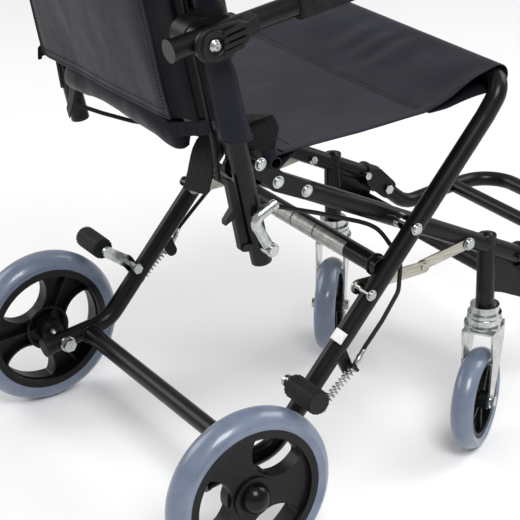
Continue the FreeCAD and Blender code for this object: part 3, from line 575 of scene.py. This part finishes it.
def seat_cloth():
    profile, length = resample(seat_profile(), 112)
    columns = 74
    rows = [[seat_point(-1 + 2 * c / columns, run, z) for c in range(columns + 1)] for run, z in profile]
    cloth = grid("seat_cloth", rows, CLOTH)
    thicken(cloth, SEAT_THICK)
    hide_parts("seat_sling")
    return cloth


def seat_edge_line(x_share, runs, lift):
    """A line on the seat's top face at a share of its half width."""
    tops = seat_profile()[REAR_WRAP_POINTS:REAR_WRAP_POINTS + TOP_POINTS]
    out = []
    for run in runs:
        for a, b in zip(tops, tops[1:]):
            if a[0] <= run <= b[0]:
                z = a[1] + (b[1] - a[1]) * (run - a[0]) / (b[0] - a[0])
                out.append(seat_point(x_share, run, z) + Vector((0, 0, lift)))
                break
    return out


def seat_details():
    """Stitch rows at the crease and hems, and a folded hem along each side."""
    up = Vector((0, 0, 1))
    lift = SEAT_THICK / 2
    rows = []
    for run in (CREASE_RUN - 0.0035, CREASE_RUN + 0.0025, run_of(REAR_BAR) + 0.028):
        line = [seat_edge_line(-0.97 + 1.94 * k / 60, [run], lift)[0] for k in range(61)]
        rows.append(stitches("row", line, up))
    runs = [run_of(REAR_BAR) + 0.01 + 0.002 * k for k in range(int((0.332 - 0.09) / 0.002))]
    for share in (-0.935, 0.935):
        rows.append(stitches("row", seat_edge_line(share, runs, lift), up))
    seams = join("seat_stitches", rows)
    hems = []
    for sign in (-1, 1):
        inner = seat_edge_line(sign * 0.925, runs, lift + 0.0002)
        outer = seat_edge_line(sign * 0.998, runs, lift + 0.0002)
        hem_rows = [[a, a.lerp(b, 0.15) + up * 0.0006, a.lerp(b, 0.85) + up * 0.0006, b]
                    for a, b in zip(inner, outer)]
        hems.append(thicken(grid("hem", hem_rows, CLOTH), 0.0005, 0))
    hem = join("seat_side_hems", hems)
    return [seams, hem]


def crease_fold():
    """The raised tuck where the front sleeve meets the seat."""
    line = [seat_edge_line(-0.985 + 1.97 * k / 70, [CREASE_RUN], 0.0004)[0] for k in range(71)]
    return tube_along("seat_crease_tuck", line, 0.0011, CLOTH, resolution=2, sides=2)


def build_seat():
    pieces = [seat_cloth(), crease_fold()] + seat_details()
    for piece in pieces:
        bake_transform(piece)


# ---------------------------------------------------------------- backrest
def pad_tuck(z):
    """0 below the stretch that a raised armrest's pad passes, 1 along it."""
    return smooth((z - PAD_CLEAR_Z) / 0.03)


def sleeve_radius(z):
    """Cloth radius round a post: snug under the collar and beside a raised pad, loose at the hem."""
    hem = 0.0022 * smooth((0.535 - z) / 0.05)
    collar = smooth((z - COLLAR_LOW + 0.016) / 0.014) * smooth((COLLAR_HIGH + 0.016 - z) / 0.014)
    return SLEEVE_R + hem - SLEEVE_TUCK * max(collar, pad_tuck(z))


def back_section(z):
    """(x, run) path across the back at one height, from one sleeve's seam to the other's."""
    radius = sleeve_radius(z)
    fold = 0.0006 * math.sin(z * 60)
    half = []
    for k in range(HALF_POINTS):
        a = math.radians(SLEEVE_START - SLEEVE_TURN * k / (HALF_POINTS - 1))
        wrinkle = 0.0008 * noise.noise(Vector((a * 2.6, z * 8, 0.3)))
        wrinkle += 0.0004 * noise.noise(Vector((a * 6, z * 14, 4)))
        wrinkle *= 1 - 0.7 * pad_tuck(z)
        r = radius + wrinkle + fold * math.sin(2 * a) * 0.5
        half.append((POST_X + r * math.cos(a), r * math.sin(a)))
    across = []
    for k in range(1, ACROSS_POINTS + 1):
        x = (POST_X - 0.022) * (1 - 2 * k / (ACROSS_POINTS + 1))
        bow = 0.009 * (1 - (x / POST_X) ** 2) * smooth((z - SLING_LOW) / 0.1 + 0.35)
        cloud = 0.0025 * noise.noise(Vector((x * 9, z * 6, 5.5)))
        across.append((x, -0.0035 - bow + cloud))
    other_half = [(-x, r) for x, r in reversed(half)]
    return [(x, post_run(z) + r) for x, r in half + across + other_half]


def back_cloth():
    """The sling between the posts, with a sleeve round each."""
    levels = 66
    rows = []
    width = 0.0
    for k in range(levels + 1):
        z = SLING_LOW + 0.001 + (SLING_HIGH - SLING_LOW - 0.002) * k / levels
        section = back_section(z)
        width = max(width, polyline_length(section))
        rows.append([at(x, run, z) for x, run in section])
    cloth = grid("back_cloth", rows, CLOTH_BACK)
    thicken(cloth, CLOTH_THICK)
    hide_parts("back_sling")
    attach(cloth, "backrest")


def beside_post(sign, angle, z, lift):
    """A point at an angle round a post, lifted clear of its sleeve."""
    r = sleeve_radius(z) + lift
    return at(sign * (POST_X + r * math.cos(angle)), post_run(z) + r * math.sin(angle), z)


def sleeve_hem(sign, z):
    """The bound edge at one end of a sleeve."""
    count = 20
    ring = []
    for k in range(count):
        angle = math.radians(SLEEVE_START - SLEEVE_TURN * k / (count - 1))
        ring.append(beside_post(sign, angle, z, 0.0004))
    return tube_along("hem", ring, 0.0014, CLOTH_BACK, resolution=3, sides=2)


def sleeve_seam(sign, angle, low, high):
    """A stitch row down a sleeve, between two heights."""
    count = 40
    line = [beside_post(sign, angle, low + (high - low) * k / (count - 1), 0.0009) for k in range(count)]
    return stitches("row", line, Vector((sign * math.cos(angle), -math.sin(angle), 0)))


def sleeve_details():
    """Bound hems at the sleeves' ends, seam rows down each sleeve and rows across the back."""
    hems, rows = [], []
    spans = ((SLING_LOW + 0.006, COLLAR_LOW - 0.01), (COLLAR_HIGH + 0.012, SLING_HIGH - 0.006))
    for sign in SIDES.values():
        for z in (SLING_LOW + 0.002, SLING_HIGH - 0.002):
            hems.append(sleeve_hem(sign, z))
        for angle in (-118.0, 150.0):
            for low, high in spans:
                rows.append(sleeve_seam(sign, math.radians(angle), low, high))
    for z in (SLING_LOW + 0.010, SLING_HIGH - 0.012):
        across = back_section(z)[HALF_POINTS:HALF_POINTS + ACROSS_POINTS]
        line = [at(x, run - 0.0008, z) for x, run in across]
        rows.append(stitches("row", line, Vector((0, 1, 0))))
    for piece in (join("sleeve_hems", hems), join("back_stitches", rows)):
        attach(piece, "backrest")


def flap_point(x_share, t):
    """A point on the rear flap: x_share -1..1 across, t 0..1 up."""
    z = FLAP_LOW + (FLAP_HIGH - FLAP_LOW) * t - 0.0045 * (x_share + 1) * (1 - t)
    x = x_share * (FLAP_HALF - 0.003 * math.sin(math.pi * t))
    stand = FLAP_STAND_OFF * (1 - smooth((t - 0.80) / 0.20) * 0.74)
    belly = 0.0040 * math.sin(math.pi * t) * (1 - x_share ** 2)
    cloud = 0.0028 * noise.noise(Vector((x * 8, z * 6, 11.0)))
    cloud += 0.0008 * noise.noise(Vector((x * 30, z * 14, 2.0)))
    curl = 0.0025 * smooth((abs(x_share) - 0.86) / 0.14)
    return at(x, post_run(z) - stand - belly - cloud + curl, z)


def rear_flap():
    """The panel that hangs behind the back, with its bound edges and stitch rows."""
    rows = [[flap_point(-1 + 2 * c / 48, r / 56) for c in range(49)] for r in range(57)]
    flap = grid("rear_flap", rows, CLOTH_BACK)
    thicken(flap, CLOTH_THICK)
    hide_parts("back_pocket")
    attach(flap, "backrest")
    edges = []
    for share in (-1, 1):
        line = [flap_point(share, r / 40) for r in range(41)]
        edges.append(tube_along("binding", line, 0.0016, CLOTH_BACK, resolution=2, sides=2))
    edges.append(tube_along("binding", [flap_point(-1 + 2 * c / 40, 0.0) for c in range(41)], 0.0016,
                            CLOTH_BACK, resolution=2, sides=2))
    binding = join("flap_binding", edges)
    seams = []
    for share in (-0.955, 0.955):
        line = [flap_point(share, 0.03 + 0.94 * r / 60) + Vector((0, 0.0008, 0)) for r in range(61)]
        seams.append(stitches("row", line, Vector((0, 1, 0))))
    line = [flap_point(-0.95 + 1.9 * c / 60, 0.03) + Vector((0, 0.0008, 0)) for c in range(61)]
    seams.append(stitches("row", line, Vector((0, 1, 0))))
    seams = join("flap_stitches", seams)
    for piece in (binding, seams):
        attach(piece, "backrest")


def side_gussets():
    """Pleated side walls between the flap's sides and the back cloth, in a darker copy of the back's
    nylon: painted shade.
    """
    walls = []
    for sign in SIDES.values():
        rows = []
        for r in range(49):
            t = r / 48 * 0.93
            outer = flap_point(sign * 0.985, t)
            z = FLAP_LOW + (FLAP_HIGH - FLAP_LOW) * t
            inner = at(sign * (POST_X - 0.0125), post_run(z) - 0.0125, z)
            row = []
            for c in range(17):
                s = c / 16
                p = outer.lerp(inner, s)
                pleat = 0.0050 * math.sin(math.pi * 3 * s) * math.sin(math.pi * s)
                ripple = 0.0015 * noise.noise(Vector((s * 5, z * 30, sign)))
                row.append(p + Vector((sign * -pleat, 0, ripple)))
            rows.append(row)
        # The darker nylon on these walls is painted shade.
        walls.append(thicken(grid("wall", rows, GUSSET_NYLON_PAINTED_SHADE), 0.0009))
    gusset = join("pocket_gussets", walls)
    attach(gusset, "backrest")


def lower_pouch():
    """The soft folded foot of the back, hanging between the flap and the back cloth."""
    rows = []
    columns, around = 60, 28
    middle_z, deep, tall = 0.4725, 0.0150, 0.0200
    for c in range(columns + 1):
        share = -1 + 2 * c / columns
        x = -0.004 + share * (POUCH_HALF + 0.007)
        full = math.sqrt(max(0.0, 1 - abs(share) ** 6))
        droop = 0.010 * share * share - 0.005
        row = []
        for k in range(around):
            a = 2 * math.pi * k / around
            half_run = deep * (0.30 + 0.70 * full)
            half_z = tall * (0.40 + 0.60 * full)
            z = middle_z - droop + half_z * math.sin(a) * (1 + 0.12 * math.cos(2 * a))
            run = post_run(0.480) - 0.0235 + half_run * math.cos(a)
            wrinkle = 0.0026 * noise.noise(Vector((x * 13, a * 0.9, 4.0)))
            wrinkle += 0.0010 * noise.noise(Vector((x * 42, a * 2.0, 9.0)))
            row.append(at(x, run + wrinkle, z + wrinkle))
        rows.append(row)
    roll = grid("lower_back_roll", rows, CLOTH_BACK, wrap=True)
    caps = bmesh.new()
    caps.from_mesh(roll.data)
    bmesh.ops.holes_fill(caps, edges=[e for e in caps.edges if e.is_boundary])
    caps.to_mesh(roll.data)
    caps.free()
    rounder = roll.modifiers.new("rounder", "SUBSURF")
    rounder.levels = rounder.render_levels = 1
    bake(roll)
    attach(roll, "backrest")


# ---------------------------------------------------------------- lap belt webbing
BELT_W = 0.034


# (x, run, z) along a strap's middle: up from its bolt, over the seat's corner and down behind it
BELT_ROUTE = [(0.1655, 0.066, 0.419), (0.165, 0.073, 0.447), (0.163, 0.079, 0.472), (0.158, 0.074, 0.488),
              (0.152, 0.057, 0.486), (0.147, 0.038, 0.476), (0.143, 0.022, 0.467), (0.142, 0.016, 0.447),
              (0.142, 0.012, 0.428), (0.141, 0.006, 0.412)]


def ribbon(name, middles, widths, mat, width=BELT_W, thick=0.0016):
    """A flat strap: its centre line and, at each point, the direction across it."""
    line, length = resample([tuple(p) + tuple(w) for p, w in zip(middles, widths)], 60)
    rows = []
    for p in line:
        middle, across = Vector(p[:3]), Vector(p[3:]).normalized()
        rows.append([middle + across * width * (c / 8 - 0.5) for c in range(9)])
    strap = grid(name, rows, mat, scale_uv=(width, length))
    return thicken(strap, thick, 1)


def lap_belts():
    """A short webbing strap over each rail at the seat's rear corner."""
    for side, sign in SIDES.items():
        points = [at(sign * x, run, z) for x, run, z in BELT_ROUTE]
        forward, sideways = Vector((0, -1, 0)), Vector((sign * 1.0, 0, 0))
        widths = [forward, forward, forward + sideways * 0.25, forward * 0.7 + sideways * 0.6,
                  forward * 0.35 + sideways, forward * 0.3 + sideways, forward * 0.3 + sideways,
                  forward * 0.3 + sideways, forward * 0.35 + sideways, forward * 0.4 + sideways]
        strap = ribbon("lap_belt_" + side, points, widths, WEBBING)
        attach(strap, "base")


# ---------------------------------------------------------------- hardware details
def lathe(name, profile, origin, axis, mat, steps=40):
    """Turn (distance along, radius) points about an axis through origin."""
    axis = axis.normalized()
    side = axis.orthogonal().normalized()
    other = axis.cross(side)
    rows = []
    for along, radius in profile:
        row = []
        for k in range(steps):
            a = 2 * math.pi * k / steps
            row.append(origin + axis * along + (side * math.cos(a) + other * math.sin(a)) * radius)
        rows.append(row)
    return grid(name, rows, mat, wrap=True)


def push_grips():
    """Moulded grips with rings, a flange and a domed end."""
    grips = []
    low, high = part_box("push_grips")
    length = high.y - low.y
    for sign in SIDES.values():
        start = Vector((sign * POST_X, low.y, (low.z + high.z) / 2))
        profile = [(0.0, 0.0112), (0.0002, 0.0150), (0.002, 0.0160), (0.005, 0.0160), (0.0065, 0.0146)]
        rings = int((length - 0.022) / 0.0044)
        for k in range(rings):
            base = 0.009 + 0.0044 * k
            swell = 0.0010 * math.sin(math.pi * k / rings)
            profile += [(base, 0.0138 + swell), (base + 0.0012, 0.0151 + swell),
                        (base + 0.0026, 0.0151 + swell), (base + 0.0036, 0.0138 + swell)]
        profile += [(length - 0.010, 0.0150), (length - 0.004, 0.0146), (length - 0.001, 0.0110),
                    (length, 0.0001)]
        grips.append(lathe("grip", profile, start, Vector((0, 1, 0)), RUBBER))
    grip = join("ribbed_push_grips", grips)
    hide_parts("push_grips")
    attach(grip, "backrest")


def springs():
    """Brake return springs: the coil between the lever's eye and the cable anchor."""
    eye, anchor = (0.121, 0.146), (0.165, 0.181)
    cable_end, cable_above = (0.168, 0.184), (0.181, 0.203)
    spring_x = 0.200
    barrel = [(-0.004, 0.0001), (-0.004, 0.0030), (0.003, 0.0038), (0.012, 0.0038), (0.0125, 0.0030),
              (0.020, 0.0030), (0.020, 0.0001)]
    for side, sign in SIDES.items():
        a, b = at(sign * spring_x, *eye), at(sign * spring_x, *anchor)
        along = (b - a).normalized()
        start = a + along * 0.008
        length = (b - start).length - 0.001
        across = along.orthogonal().normalized()
        other = along.cross(across)
        turns, per_turn = 9, 14
        line = []
        for k in range(turns * per_turn + 1):
            angle = 2 * math.pi * k / per_turn
            line.append(start + along * (length * k / (turns * per_turn))
                        + (across * math.cos(angle) + other * math.sin(angle)) * 0.0046)
        coil = tube_along("coil", line, 0.0010, ZINC, resolution=2, sides=2)
        wire = tube_along("wire", [a, a.lerp(b, 0.5), b], 0.0009, ZINC, resolution=2, sides=2)
        end, toward = at(sign * spring_x, *cable_end), at(sign * spring_x, *cable_above)
        ferrule = lathe("ferrule", barrel, end, (toward - end).normalized(), ZINC, 20)
        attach(ferrule, "leg_frame")
        ferrule.name = "cable_ferrule_" + side
        spring = join("brake_spring_" + side, [coil, wire])
        if side == "left":
            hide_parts("brake_springs")
        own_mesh(spring)
        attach(spring, "leg_frame")


def ring_bead(name, middle, axis, radius, thick, mat):
    """A slightly uneven bead round a tube."""
    side = axis.orthogonal().normalized()
    other = axis.cross(side)
    points = []
    for k in range(28):
        a = 2 * math.pi * k / 28
        wobble = 1 + 0.012 * math.sin(9 * a)
        points.append(middle + (side * math.cos(a) + other * math.sin(a)) * radius * wobble)
    return tube_along(name, points, thick, mat, closed=True, resolution=3, sides=2)


def weld_beads():
    """Painted fillet welds where cross tubes meet the side frames."""
    across = Vector((1, 0, 0))
    inner = LEG_X - TUBE_R
    stem_x = 0.1530
    beads = []
    for name in ("rear_cross_tube", "mid_cross_tube"):
        middle = centre(name)
        for sign in SIDES.values():
            beads.append(ring_bead("bead", Vector((sign * (inner - 0.0005), middle.y, middle.z)), across,
                                   TUBE_R + 0.0006, 0.0016, POWDER))
    welded = join("leg_frame_welds", beads)
    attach(welded, "leg_frame")
    middle = centre("front_cross_tube")
    beads = []
    for sign in SIDES.values():
        place = Vector((sign * stem_x, middle.y, middle.z))
        beads.append(ring_bead("bead", place, across, TUBE_R + 0.0006, 0.0014, POWDER))
    welded = join("front_welds", beads)
    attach(welded, "base")


def leg_point(run, x=LEG_X):
    """A point on a leg's straight stretch."""
    return at(x, run, 0.327 + (run - 0.251) * 1.04)


def paper_sticker():
    """Blank white label wrapped part of the way round the right leg."""
    along = (leg_point(0.2) - leg_point(0.1)).normalized()
    out = Vector((-1, 0, 0))
    other = along.cross(out).normalized()
    rows = []
    for r in range(9):
        middle = leg_point(0.1458 + 0.0095 * r / 8, -LEG_X)
        row = []
        for c in range(13):
            a = math.radians(-62 + 112 * c / 12)
            row.append(middle + (out * math.cos(a) + other * math.sin(a)) * (TUBE_R + 0.00025))
        rows.append(row)
    label = grid("blank_label", rows, PAPER)
    thicken(label, 0.0002, 0)
    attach(label, "leg_frame")


def cable_bridges():
    """The free inch of each brake cable that flexes where rail and leg fold."""
    route = [(0.157, 0.203, 0.3335), (0.158, 0.219, 0.326), (0.163, 0.232, 0.314), (0.172, 0.238, 0.2985)]
    for side, sign in SIDES.items():
        points = [at(sign * x, run, z) for x, run, z in route]
        piece = tube_along("cable_bridge_" + side, points, CABLE_R, CABLE, resolution=8)
        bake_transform(piece)


def plate(name, outline, x0, x1, mat, round_edge):
    """A flat plate from a (run, z) outline, from x0 to x1, with rounded edges."""
    build = bmesh.new()
    face = build.faces.new([build.verts.new(at(x0, *p)) for p in outline])
    moved = bmesh.ops.extrude_face_region(build, geom=[face])
    far_side = [v for v in moved["geom"] if isinstance(v, bmesh.types.BMVert)]
    bmesh.ops.translate(build, vec=Vector((x1 - x0, 0, 0)), verts=far_side)
    bmesh.ops.recalc_face_normals(build, faces=build.faces)
    mesh = bpy.data.meshes.new(name)
    build.to_mesh(mesh)
    build.free()
    made = make_object(name, mesh, mat)
    edge = made.modifiers.new("edge", "BEVEL")
    edge.width = round_edge
    edge.segments = 3
    edge.limit_method = "ANGLE"
    made.modifiers.new("flat", "WEIGHTED_NORMAL")
    return bake(made)


def capsule(start, end, r_start, r_end, count=12):
    """Outline of two circles joined by tangents, as (run, z) points."""
    turn = math.degrees(math.atan2(end[1] - start[1], end[0] - start[0]))
    return arc(start, r_start, turn + 90, turn + 270, count) + arc(end, r_end, turn - 90, turn + 90, count)


ARM_PIVOT = (-0.023, 0.603)


def armrest_hinge_covers():
    """Moulded cover on each armrest's outer side: a round boss, three louvres and a thumb block."""
    run, z = ARM_PIVOT
    for side, sign in SIDES.items():
        inner, outer = sign * 0.2326, sign * 0.2400
        outline = capsule((run - 0.004, z + 0.001), (run + 0.030, z + 0.006), 0.0165, 0.0125)
        pieces = [plate("body", outline, inner, outer, PLASTIC, 0.0022)]
        for rise, reach in ((0.0125, 0.030), (0.0055, 0.034), (-0.0015, 0.034), (-0.0080, 0.029)):
            start, end = (run + 0.010, z + rise - 0.0015), (run + reach, z + rise + 0.003)
            bar = capsule(start, end, 0.0023, 0.0023, 6)
            pieces.append(plate("louvre", bar, sign * 0.2395, sign * 0.2436, PLASTIC, 0.0009))
        block = [(run + 0.036, z + 0.016), (run + 0.038, z - 0.002), (run + 0.054, z + 0.001),
                 (run + 0.055, z + 0.009), (run + 0.049, z + 0.021)]
        pieces.append(plate("block", block, sign * 0.2200, sign * 0.2375, PLASTIC, 0.0022))
        ring = [(0.0, 0.0150), (0.0016, 0.0150), (0.0022, 0.0140), (0.0022, 0.0095), (0.0002, 0.0088)]
        pieces.append(lathe("boss", ring, at(sign * 0.2398, run, z), Vector((sign, 0, 0)), PLASTIC))
        cover = join("armrest_hinge_cover_" + side, pieces)
        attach(cover, "armrest_" + side)
        head = [(0.0, 0.0068), (0.0012, 0.0068), (0.0013, 0.0054), (0.0030, 0.0050), (0.0042, 0.0034),
                (0.0044, 0.0016), (0.0036, 0.0010), (0.0036, 0.0001)]
        screw = lathe("armrest_hinge_screw_" + side, head, at(outer, run, z), Vector((sign, 0, 0)), ZINC)
        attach(screw, "armrest_" + side)


def armrest_stops():
    """The black clamp on each post just above the armrest, with its screw."""
    low, high = 0.646, 0.668
    middle, screw_z = 0.657, 0.655
    face = 0.2035               # outer face of the ear, inboard of the raised armrest
    ear_run, screw_run = post_run(middle) - 0.004, post_run(middle) - 0.026
    up = (at(0, post_run(high), high) - at(0, post_run(low), low)).normalized()
    for side, sign in SIDES.items():
        profile = [(0.0, 0.0150), (0.001, 0.0175), (0.021, 0.0175), (0.022, 0.0150)]
        ring = lathe("ring", profile, at(sign * POST_X, post_run(low), low), up, PLASTIC)
        outline = capsule((ear_run, middle), (screw_run, screw_z), 0.010, 0.008)
        ear = plate("ear", outline, sign * 0.193, sign * face, PLASTIC, 0.0015)
        clamp = join("armrest_stop_" + side, [ring, ear])
        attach(clamp, "backrest")
        head = [(0.0, 0.0052), (0.002, 0.0050), (0.0034, 0.0034), (0.0036, 0.0001)]
        screw = lathe("armrest_stop_screw_" + side, head, at(sign * face, screw_run, screw_z),
                      Vector((sign, 0, 0)), ZINC, 24)
        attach(screw, "backrest")


def pleat_tabs():
    """Small folded tabs of cloth between the flap's lower corners and the sleeves."""
    tabs = []
    for sign in SIDES.values():
        rows = []
        for r in range(4):
            z = 0.4815 + 0.0055 * r
            row = []
            for c in range(17):
                s = c / 16
                fold = 0.0022 * (1 if c % 4 in (1, 2) else -1) * (1 - 0.2 * r)
                row.append(at(sign * (0.147 + 0.028 * s), -0.022 + 0.030 * s + fold, z + 0.004 * s))
            rows.append(row)
        tabs.append(thicken(grid("tab", rows, CLOTH_BACK), 0.0009))
    tab = join("pocket_pleat_tabs", tabs)
    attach(tab, "backrest")


# ---------------------------------------------------------------- studio
def studio():
    """A plain pale floor, an even white surround and three large soft lamps."""
    mesh = bpy.data.meshes.new("studio_floor")
    size = 9.0
    corners = [(-size, -size, 0), (size, -size, 0), (size, size, 0), (-size, size, 0)]
    mesh.from_pydata(corners, [], [(0, 1, 2, 3)])
    mat, tree, shader = new_material("studio_floor", (0.9, 0.9, 0.9), 0.7)
    space = coords(tree)
    tinted(tree, shader, noise_out(tree, space, 3), (0.89, 0.89, 0.895), (0.91, 0.91, 0.91))
    floor = make_object("studio_floor", mesh, mat)
    world = bpy.data.worlds.new("studio")
    world.use_nodes = True
    world.node_tree.nodes["Background"].inputs["Color"].default_value = (1.0, 1.0, 1.0, 1.0)
    world.node_tree.nodes["Background"].inputs["Strength"].default_value = 0.52
    bpy.context.scene.world = world
    bpy.context.scene.view_settings.view_transform = "Standard"
    lamps = [("key", (-1.9, 0.6, 2.6), 1.2, 62), ("fill", (1.9, 1.4, 1.8), 1.6, 26),
             ("front", (-0.4, -2.3, 2.1), 1.6, 34)]
    for name, place, size, power in lamps:
        light = bpy.data.lights.new(name, "AREA")
        light.size = size
        light.energy = power
        holder = bpy.data.objects.new(name, light)
        holder.location = place
        aim = Vector((0, 0, 0.35)) - Vector(place)
        holder.rotation_euler = aim.to_track_quat("-Z", "Y").to_euler()
        bpy.context.scene.collection.objects.link(holder)


def camera():
    """Close, high three-quarter view from behind the sitter's right side."""
    data = bpy.data.cameras.new("camera")
    data.sensor_width = 36.0
    data.lens = 124.63
    right = Vector((-0.5458, -0.8376, -0.02175)).normalized()
    up = Vector((0.3472, -0.2497, 0.9039)).normalized()
    back = right.cross(up).normalized()
    up = back.cross(right).normalized()
    place = at(-1.6208, -0.85876, 1.1420)
    turn = Matrix((right, up, back)).transposed().to_4x4()
    holder = bpy.data.objects.new("camera", data)
    holder.matrix_world = Matrix.Translation(place) @ turn
    bpy.context.scene.collection.objects.link(holder)
    bpy.context.scene.camera = holder


# ---------------------------------------------------------------- build
camera()
studio()
dress_cad_nodes()
build_seat()
back_cloth()
sleeve_details()
rear_flap()
side_gussets()
lower_pouch()
lap_belts()
push_grips()
springs()
weld_beads()
paper_sticker()
cable_bridges()
armrest_hinge_covers()
armrest_stops()
pleat_tabs()
